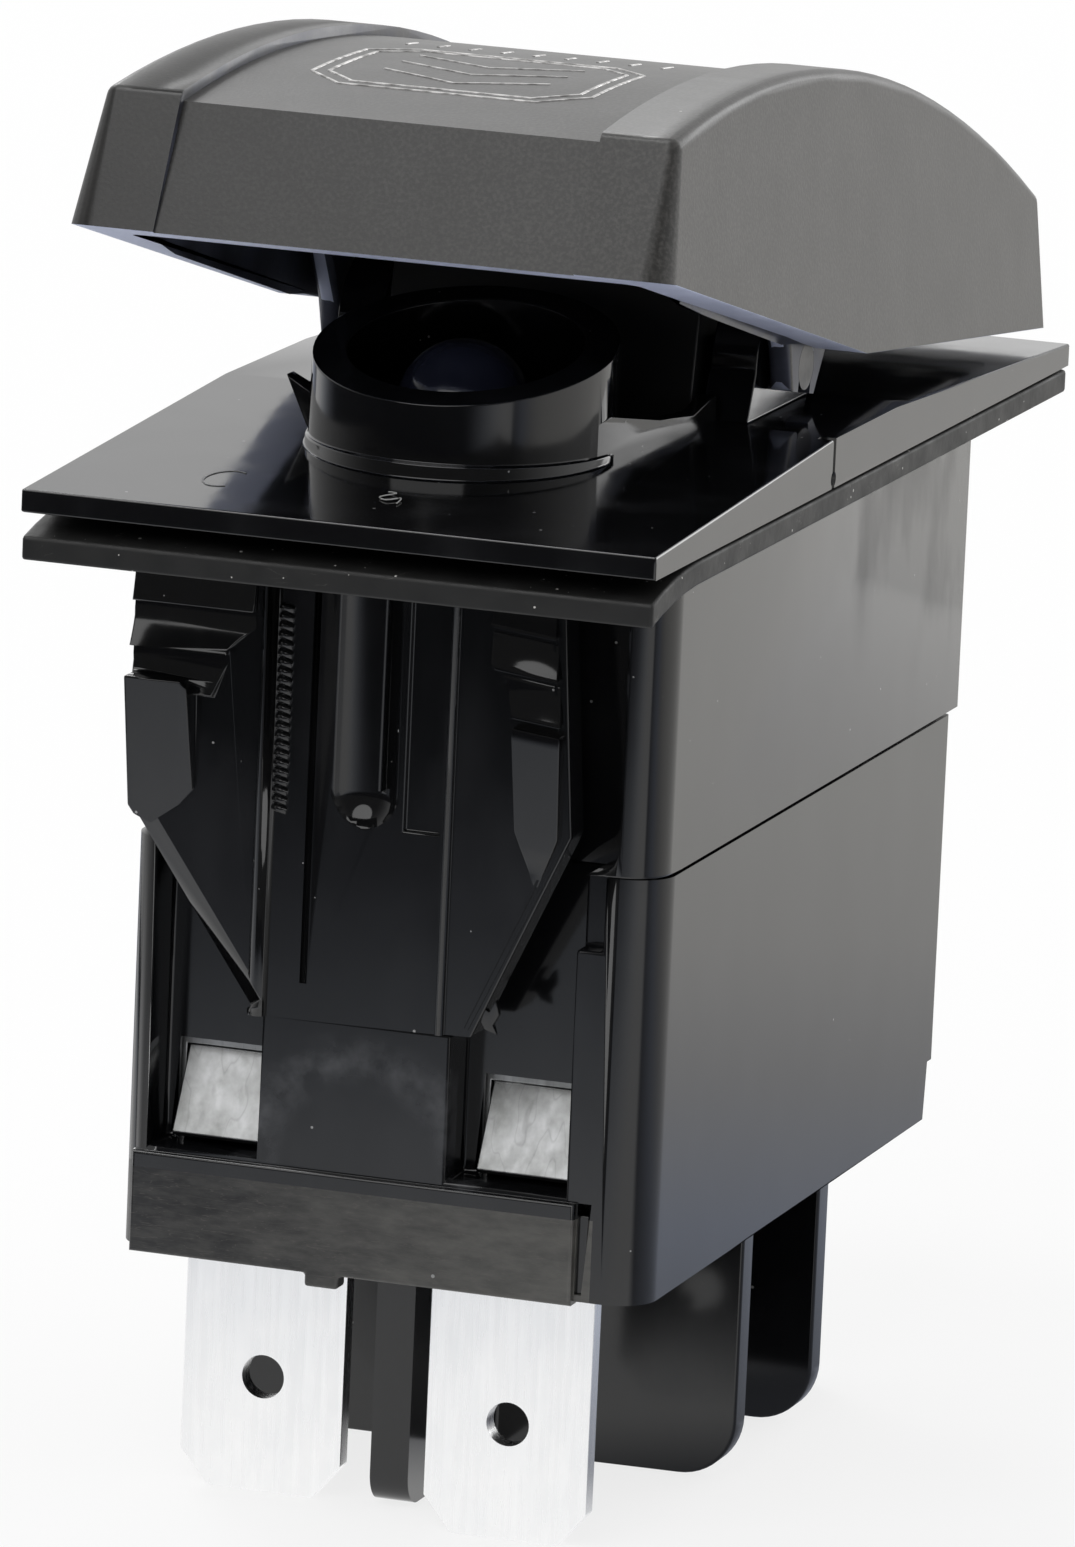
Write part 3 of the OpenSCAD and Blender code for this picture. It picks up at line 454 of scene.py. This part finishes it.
def fade_panel(edit):
    """Brings the panel's foot out to the cap's end faces, so that its step runs out there."""
    step = 0.34
    for vertex in edit.verts:
        level = cap_frame(vertex.co)
        if abs(level.x) < 8.1 and 23.9 < abs(level.y) < 24.3 and 2.0 < level.z < 3.2:
            level.y += math.copysign(step, level.y)
            vertex.co = from_cap_frame(*level)


def skin_of(edit):
    """The convex hull of a mesh, to tell its outside from its inside."""
    hull = edit.copy()
    result = bmesh.ops.convex_hull(hull, input=hull.verts)
    wrapped = set(part for part in result["geom"] if isinstance(part, bmesh.types.BMFace))
    bmesh.ops.delete(hull, geom=[face for face in hull.faces if face not in wrapped], context="FACES")
    skin = BVHTree.FromBMesh(hull)
    hull.free()
    return skin


def cap_shell():
    """The rocker cap: painted outside, bare along the lower rim, and dark inside with painted shade."""
    materials = cap_paint(), bare_plastic(), inside_plastic_painted_shade()
    bare, inside = 1, 2
    rim_top, skin_depth = 3.0, 0.7 * MM
    edit = joined_copy("rocker_cap")
    fade_panel(edit)
    edit = round_edges(edit, 0.34 * MM, 4, keep=on_panel_step)
    skin = skin_of(edit)
    for face in edit.faces:
        centre = face.calc_center_median()
        level = TILT.transposed() @ face.normal
        _, normal, _, away = skin.find_nearest(centre)
        outside = away < skin_depth and normal.dot(face.normal) > 0.3
        if level.z < -0.6 and cap_frame(centre).z < rim_top:
            face.material_index = bare
        elif not outside:
            face.material_index = inside
    add_piece("cap_shell", edit, materials, "rocker", "rocker_cap")


def soft_mouldings():
    """The mouldings and terminals with rounded edges; gives back the gloss black for what sits on them."""
    silver = tinned_sheet()
    black = moulded_black("black_gloss", (0.0042, 0.0043, 0.0048), 0.08)[0].material
    satin = plain_plastic("black_satin", (0.012, 0.012, 0.013), 0.35)
    add_piece("bracket_moulding", rounded_copy("bracket", 0.08 * MM), (black,), "housing",
              "bracket")
    add_piece("base_moulding", rounded_copy("base", 0.13 * MM, 3), (base_black(),), "housing",
              "base")
    add_piece("gasket_ring", rounded_copy("panel_gasket", 0.14 * MM), (rubber(),), "housing",
              "panel_gasket")
    add_piece("actuator_block", rounded_copy("actuator", 0.10 * MM), (satin,), "rocker",
              "actuator")
    for node in ("lamp_terminal_left", "lamp_terminal_right", "rear_lamp_terminal", "common_terminal",
                 "load_terminal"):
        add_piece(node + "_plate", rounded_copy(node, 0.06 * MM), (silver,), "housing", node)
    cap_shell()
    return black


# ---------------------------------------------------------------- marks


def ribbon(edit, points, width, height, closed=False):
    """A thin raised strip of this width along a line of points, on the surface that they lie on."""
    count = len(points)
    rows = []
    for i, (point, normal) in enumerate(points):
        ahead = points[(i + 1) % count if closed else min(i + 1, count - 1)][0]
        behind = points[(i - 1) % count if closed else max(i - 1, 0)][0]
        side = (ahead - behind).cross(normal).normalized() * (width / 2)
        crest = side * 0.7
        lift = normal * height
        rows.append([edit.verts.new(p) for p in (point - side - lift, point - crest + lift,
                                                 point + crest + lift, point + side - lift)])
    for i in range(count if closed else count - 1):
        a, b = rows[i], rows[(i + 1) % count]
        for j in range(4):
            edit.faces.new((a[j], b[j], b[(j + 1) % 4], a[(j + 1) % 4]))
    if not closed:
        edit.faces.new(rows[0])
        edit.faces.new(list(reversed(rows[-1])))


# The arch of the cap's top: its radius, its height and how deep the panel lies below it
ARCH_R, ARCH_TOP, RECESS = 75.0, 11.12, 0.4


def on_panel(x, y):
    """A point of the cap's recessed panel and the panel's normal there."""
    rise = math.sqrt(ARCH_R ** 2 - y ** 2)
    point = from_cap_frame(x, y, ARCH_TOP - ARCH_R + rise - RECESS)
    return point, (TILT @ Vector((0, y / ARCH_R, rise / ARCH_R))).normalized()


# The design's lines in millimetres: their width, their height and the steps that follow the arch
LINE_WIDTH, LINE_HEIGHT, LINE_STEP = 0.16, 0.03, 0.6


def panel_line(edit, corners, closed=False):
    """A fine raised line on the panel through these corners."""
    points = []
    ends = corners + corners[:1] if closed else corners
    for (x0, y0), (x1, y1) in zip(ends, ends[1:]):
        steps = max(1, round(math.hypot(x1 - x0, y1 - y0) / LINE_STEP))
        points += [on_panel(x0 + (x1 - x0) * k / steps, y0 + (y1 - y0) * k / steps) for k in range(steps)]
    if not closed:
        points.append(on_panel(*corners[-1]))
    ribbon(edit, points, LINE_WIDTH * MM, LINE_HEIGHT * MM, closed)


def cap_design():
    """A plain design of outlines, chevrons and short bars in fine silver line on the cap's panel."""
    edit = bmesh.new()
    for inset in (0.0, 0.55):
        w, y0, y1 = 5.4 - inset, -18.2 + inset, -9.2 - inset
        cut = 1.6 - 0.4 * inset
        panel_line(edit, [(-w, y0 + cut), (-w + cut, y0), (w - cut, y0), (w, y0 + cut),
                          (w, y1 - cut), (w - cut, y1), (-w + cut, y1), (-w, y1 - cut)], closed=True)
    for k in range(3):
        y = -16.4 + 1.9 * k
        panel_line(edit, [(-3.2, y + 1.5), (0.0, y), (3.2, y + 1.5)])
    for k in range(9):
        x = -5.0 + 1.25 * k
        panel_line(edit, [(x, -7.6), (x, -6.4)])
    bmesh.ops.recalc_face_normals(edit, faces=edit.faces)
    add_piece("cap_line_design", edit, (silver_line(),), "rocker", crease=30.0)


# The flange's sloping front half in [y, z]: its front end, and where it turns level
FLANGE_END, FLANGE_LEVEL = (-25.2, 0.86), (-4.4, 1.87)


def on_flange(x, y, lift=0.0):
    """A point over the flange's sloping front half, and the flange's normal there."""
    (y0, z0), (y1, z1) = FLANGE_END, FLANGE_LEVEL
    slope = (z1 - z0) / (y1 - y0)
    return Vector((x, y, z0 + (y - y0) * slope + lift)) * MM, Vector((0, -slope, 1)).normalized()


def gate_mark():
    """The small C-shaped mark beside the lamp well, raised a little from the flange."""
    (x, y), (across, along), steps = (-6.0, -20.5), (0.75, 1.25), 22
    angles = [math.radians(60 + 240 * k / steps) for k in range(steps + 1)]
    edit = bmesh.new()
    ribbon(edit, [on_flange(x + across * math.cos(a), y + along * math.sin(a)) for a in angles],
           0.12 * MM, 0.025 * MM)
    bmesh.ops.recalc_face_normals(edit, faces=edit.faces)
    black = plain_plastic("mark_black", (0.10, 0.10, 0.10), 0.30)
    add_piece("gate_mark", edit, (black,), "housing", crease=30.0)


def loft(edit, sections):
    """A closed solid through sections of equal length, each a ring of points in millimetres."""
    rings = [[edit.verts.new(Vector(p) * MM) for p in ring] for ring in sections]
    count = len(rings[0])
    for a, b in zip(rings, rings[1:]):
        for j in range(count):
            edit.faces.new((a[j], a[(j + 1) % count], b[(j + 1) % count], b[j]))
    edit.faces.new(list(reversed(rings[0])))
    edit.faces.new(rings[-1])


def between(points, z):
    """The X of a line of [x, z] points at height z."""
    for (x0, z0), (x1, z1) in zip(points, points[1:]):
        if z1 <= z <= z0:
            return x0 + (x1 - x0) * (z - z0) / (z1 - z0)
    return points[0][0] if z > points[0][1] else points[-1][0]


# The right wing's face, how deep its catch is rooted, and where its teeth start to lean and by how much
WING_Y = -18.5
WING_ROOT = WING_Y + 0.3
WING_LEFT = 3.8
WING_LEAN = math.tan(math.radians(6))


def wing_row(left, right, z, out):
    """One section of the right wing's catch: front left, front right, root right, root left."""
    x0, x1 = between(left, z), between(right, z)
    z0, z1 = z - (x0 - WING_LEFT) * WING_LEAN, z - (x1 - WING_LEFT) * WING_LEAN
    return [(x0, WING_Y - out, z0), (x1, WING_Y - out, z1), (x1, WING_ROOT, z1), (x0, WING_ROOT, z0)]


def wing_teeth(edit):
    """Four hollow-faced teeth, each as [top, crest, how far it stands out]."""
    left = [(3.75, -1.6), (3.85, -5.0), (4.3, -5.4), (5.0, -7.6)]
    right = [(6.15, -1.6), (6.75, -8.0)]
    teeth = ((-1.7, -2.15, 0.10), (-2.25, -3.65, 0.30), (-3.8, -5.2, 0.34), (-5.35, -6.85, 0.30))
    steps, hollow = 8, 1.6
    for top, crest, out in teeth:
        loft(edit, [wing_row(left, right, top + (crest - top) * k / steps, 0.02 + out * (k / steps) ** hollow)
                    for k in range(steps + 1)])


def wing_ramp(edit):
    """The ramp below the teeth, which runs out downwards."""
    left = [(4.85, -7.1), (5.0, -11.0), (5.8, -12.9)]
    right = [(6.75, -7.1), (6.70, -11.0), (5.95, -12.9)]
    top, foot, out, steps = -7.1, -12.9, 0.62, 12
    loft(edit, [wing_row(left, right, top + (foot - top) * k / steps, 0.02 + out * (1 - k / steps))
                for k in range(steps + 1)])


def wing_beads(edit):
    """Two fine beads along the wing's outer edge."""
    out, steps = Vector((0, -1, 0)), 8
    for inset in (0.12, 0.42):
        path = [(7.15 - inset - 0.75, -1.0), (7.15 - inset, -11.15), (3.55 - 0.6 * inset, -18.7)]
        line = [(x0 + (x1 - x0) * k / steps, z0 + (z1 - z0) * k / steps)
                for (x0, z0), (x1, z1) in zip(path, path[1:]) for k in range(steps)] + path[-1:]
        ribbon(edit, [(Vector((x, WING_Y, z)) * MM, out) for x, z in line], 0.14 * MM, 0.05 * MM)


def right_wing_catch(black):
    """The narrow front wing's catch, and its mirror image on the narrow rear wing."""
    edit = bmesh.new()
    wing_teeth(edit)
    wing_ramp(edit)
    bmesh.ops.recalc_face_normals(edit, faces=edit.faces)
    rounded = round_edges(edit, 0.07 * MM)
    edit = rounded.copy()  # without the gaps that rounding leaves, which the beads would fill in any order
    rounded.free()
    wing_beads(edit)
    bmesh.ops.recalc_face_normals(edit, faces=edit.faces)
    rear = edit.copy()
    for vertex in rear.verts:
        vertex.co.y *= -1
    bmesh.ops.reverse_faces(rear, faces=rear.faces)
    add_piece("right_wing_catch", edit, (black,), "housing", crease=32.0)
    add_piece("rear_right_wing_catch", rear, (black,), "housing", crease=32.0)


def shade_filler_web(black):
    """The web that closes the foot band's right end, in front of the blade's edge; a black block that also
    stands in for the shade there.
    """
    (x0, y0, z0), (x1, y1, z1) = (7.55, -17.32, -28.5), (8.20, -17.06, -25.45)
    edit = bmesh.new()
    loft(edit, [[(x0, y0, z), (x1, y0, z), (x1, y1, z), (x0, y1, z)] for z in (z0, z1)])
    bmesh.ops.recalc_face_normals(edit, faces=edit.faces)
    edit = round_edges(edit, 0.06 * MM)
    add_piece("shade_filler_web", edit, (black,), "housing", crease=50.0)


def moulding_flash(black):
    """The torn sliver of flash at the foot of the right wing: a ring of [x, z, half its thickness]."""
    y = -18.2
    edit = bmesh.new()
    outline = [(3.72, -18.15, 0.16), (4.05, -17.85, 0.22), (4.22, -18.05, 0.10), (4.48, -17.55, 0.20),
               (4.62, -18.1, 0.12), (4.40, -18.5, 0.16), (4.55, -18.85, 0.06), (4.10, -18.7, 0.12)]
    loft(edit, [[(x, y + t, z) for x, z, t in outline], [(x, y - t, z) for x, z, t in outline]])
    bmesh.ops.recalc_face_normals(edit, faces=edit.faces)
    edit = round_edges(edit, 0.03 * MM)
    add_piece("moulding_flash", edit, (black,), "housing", crease=50.0)


def smooth_path(path, steps):
    """A smooth curve through the points of a path, in that many steps from each to the next."""
    smooth = []
    for i in range(len(path) - 1):
        p0, p1, p2, p3 = path[max(i - 1, 0)], path[i], path[i + 1], path[min(i + 2, len(path) - 1)]
        for k in range(steps):
            t = k / steps
            smooth.append(0.5 * ((2 * p1) + (p2 - p0) * t + (2 * p0 - 5 * p1 + 4 * p2 - p3) * t * t
                                 + (3 * p1 - p0 - 3 * p2 + p3) * t ** 3))
    return smooth + path[-1:]


def lint_fibre():
    """A stray white fibre that lies on the flange: corners of [x, y, height above the flange]."""
    corners = ((0.1, -20.0, 0.04), (0.5, -20.25, 0.08), (0.1, -20.9, 0.05), (0.5, -21.3, 0.06),
               (0.9, -20.9, 0.08), (1.0, -21.6, 0.05))
    radius, sides = 0.025, 6
    smooth = smooth_path([on_flange(*corner)[0] / MM for corner in corners], 6)
    rings = []
    for i, point in enumerate(smooth):
        along = (smooth[min(i + 1, len(smooth) - 1)] - smooth[max(i - 1, 0)]).normalized()
        side = along.orthogonal().normalized()
        other = along.cross(side)
        turns = [math.tau * k / sides for k in range(sides)]
        rings.append([point + (side * math.cos(a) + other * math.sin(a)) * radius for a in turns])
    edit = bmesh.new()
    loft(edit, rings)
    bmesh.ops.recalc_face_normals(edit, faces=edit.faces)
    white = plain_plastic("lint_fibre_white", (0.62, 0.62, 0.60), 0.6)
    add_piece("lint_fibre", edit, (white,), "housing", crease=180.0)


def spring_coil(steel):
    """The spring, as a piece with a mesh of its own."""
    coil = add_piece("spring_coil", joined_copy("plunger_spring"), (steel,), "rocker",
                     "plunger_spring", 60.0)
    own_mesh(coil)


def dress(material, *names):
    """Gives a material to CAD nodes that show as they are."""
    for name in names:
        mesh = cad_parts[name].data
        mesh.materials.clear()
        mesh.materials.append(material)


def dress_all():
    """Materials for what shows in the CAD's own shape: contacts, wires, plunger, resistors and lamps."""
    steel = metal("steel_wire", (0.62, 0.63, 0.65), 0.3)
    dress(metal("copper_strip", (0.80, 0.50, 0.34), 0.28, (1, 0.1, 1)), "contact_rocker")
    dress(metal("contact_silver", (0.9, 0.88, 0.84), 0.2, (1, 1, 1)), "moving_contact", "fixed_contact")
    dress(steel, "lead_wires_front", "lead_wires_rear")
    spring_coil(steel)
    dress(plain_plastic("nylon", (0.78, 0.76, 0.70), 0.4), "plunger")
    dress(plain_plastic("resistor_coat", (0.60, 0.50, 0.34), 0.45), "resistor_front", "resistor_rear")
    dress(lens(), "led_front", "led_rear")


# ---------------------------------------------------------------- stage


# How far the floor's shades reach from the middle, and how the floor shows in reflections: a distance
# towards the rear right and a colour. Distances are in millimetres.
FLOOR_REACH = 220.0
# The dark stops from 2 to 65 are a painted shadow of the object, under and behind it, which shows only in
# reflections.
FLOOR_SHADES = ((-200, (0.035, 0.035, 0.04)), (-150, (0.04, 0.045, 0.05)), (-120, (0.20, 0.21, 0.24)),
                (-90, (0.50, 0.53, 0.58)), (-60, (0.86, 0.88, 0.92)), (-35, (1.0, 1.0, 1.0)),
                (-8, (1.0, 1.0, 1.0)), (2, (0.22, 0.23, 0.26)), (40, (0.46, 0.50, 0.60)),
                (65, (0.62, 0.62, 0.63)), (90, (0.82, 0.81, 0.79)), (120, (0.92, 0.91, 0.88)),
                (175, (1.0, 0.985, 0.955)))


def make_floor():
    """A pale floor under the blade tips that keeps the soft shadow of the object."""
    low = cad_box[0][2]
    size = 3.0  # from the middle to each side, in metres
    white = 0.8  # the share of plain white that the camera sees; the rest takes the shadow
    mesh = bpy.data.meshes.new("floor")
    mesh.from_pydata([(-size, -size, low), (size, -size, low), (size, size, low), (-size, size, low)],
                     [], [(0, 1, 2, 3)])
    floor = bpy.data.objects.new("floor", mesh)
    bpy.context.scene.collection.objects.link(floor)
    m = Nodes("floor")
    tree = m.tree
    m.set(Base_Color=(0.8, 0.8, 0.8, 1), Roughness=0.9)
    path = tree.nodes.new("ShaderNodeLightPath")
    place = m.place()
    behind = m.math("ADD", m.math("MULTIPLY", m.axis(place, "Y"), 0.8),
                    m.math("MULTIPLY", m.axis(place, "X"), 0.6))
    reach = m.span(behind, -FLOOR_REACH, FLOOR_REACH)
    stops = [((far + FLOOR_REACH) / (2 * FLOOR_REACH), colour) for far, colour in FLOOR_SHADES]
    emission = tree.nodes.new("ShaderNodeEmission")
    shade = m.ramp(reach, *stops)
    m.put(emission.inputs["Color"], m.mix(path.outputs["Is Camera Ray"], shade, (1.0, 1.0, 1.0)))
    mix = tree.nodes.new("ShaderNodeMixShader")
    seen = m.math("MAXIMUM", m.math("MULTIPLY", path.outputs["Is Camera Ray"], white),
                  m.math("MAXIMUM", path.outputs["Is Glossy Ray"], path.outputs["Is Transmission Ray"]))
    m.put(mix.inputs[0], seen)
    m.put(mix.inputs[1], m.shader.outputs[0])
    m.put(mix.inputs[2], emission.outputs[0])
    m.put(tree.nodes["Material Output"].inputs["Surface"], mix.outputs[0])
    mesh.materials.append(m.material)


def make_world():
    """White for the camera; for the object a studio that is bright behind and beside it, dim in front."""
    world = bpy.data.worlds.new("studio")
    bpy.context.scene.world = world
    world.use_nodes = True
    tree = world.node_tree
    background = tree.nodes["Background"]
    coords = tree.nodes.new("ShaderNodeTexCoord")
    split = tree.nodes.new("ShaderNodeSeparateXYZ")
    tree.links.new(coords.outputs["Generated"], split.inputs[0])
    depth = tree.nodes.new("ShaderNodeMapRange")
    for name, number in (("From Min", -0.75), ("From Max", 0.45), ("To Min", 0.10), ("To Max", 1.0)):
        depth.inputs[name].default_value = number
    depth.interpolation_type = "SMOOTHSTEP"
    tree.links.new(split.outputs["Y"], depth.inputs["Value"])
    path = tree.nodes.new("ShaderNodeLightPath")
    strength = tree.nodes.new("ShaderNodeMath")
    strength.operation = "MAXIMUM"
    tree.links.new(depth.outputs["Result"], strength.inputs[0])
    tree.links.new(path.outputs["Is Camera Ray"], strength.inputs[1])
    tree.links.new(strength.outputs[0], background.inputs["Strength"])
    background.inputs["Color"].default_value = (1.0, 1.0, 1.0, 1.0)


def area_light(name, place, size, power):
    """A soft lamp that faces the object's origin."""
    data = bpy.data.lights.new(name, "AREA")
    data.shape = "ELLIPSE"
    data.size, data.size_y = size
    data.energy = power
    light = bpy.data.objects.new(name, data)
    bpy.context.scene.collection.objects.link(light)
    light.location = place
    direction = Vector((0, 0, 0)) - Vector(place)
    light.rotation_euler = direction.to_track_quat("-Z", "Y").to_euler()


def make_lights():
    """Four lamps: place and size in metres, power in watts."""
    area_light("key", (-0.12, -0.68, 0.62), (0.8, 0.8), 3.1)
    area_light("back", (-0.52, 0.66, 0.50), (0.4, 0.26), 2.0)
    area_light("top", (-0.28, -0.20, 0.95), (0.30, 0.40), 2.3)
    area_light("side", (0.26, 0.50, 0.14), (0.3, 0.2), 0.5)


# ---------------------------------------------------------------- build

bpy.context.scene.view_settings.view_transform = "Standard"
make_camera()
make_floor()
make_world()
make_lights()
dress_all()
gloss = soft_mouldings()
right_wing_catch(gloss)
moulding_flash(gloss)
shade_filler_web(gloss)
cap_design()
gate_mark()
lint_fibre()
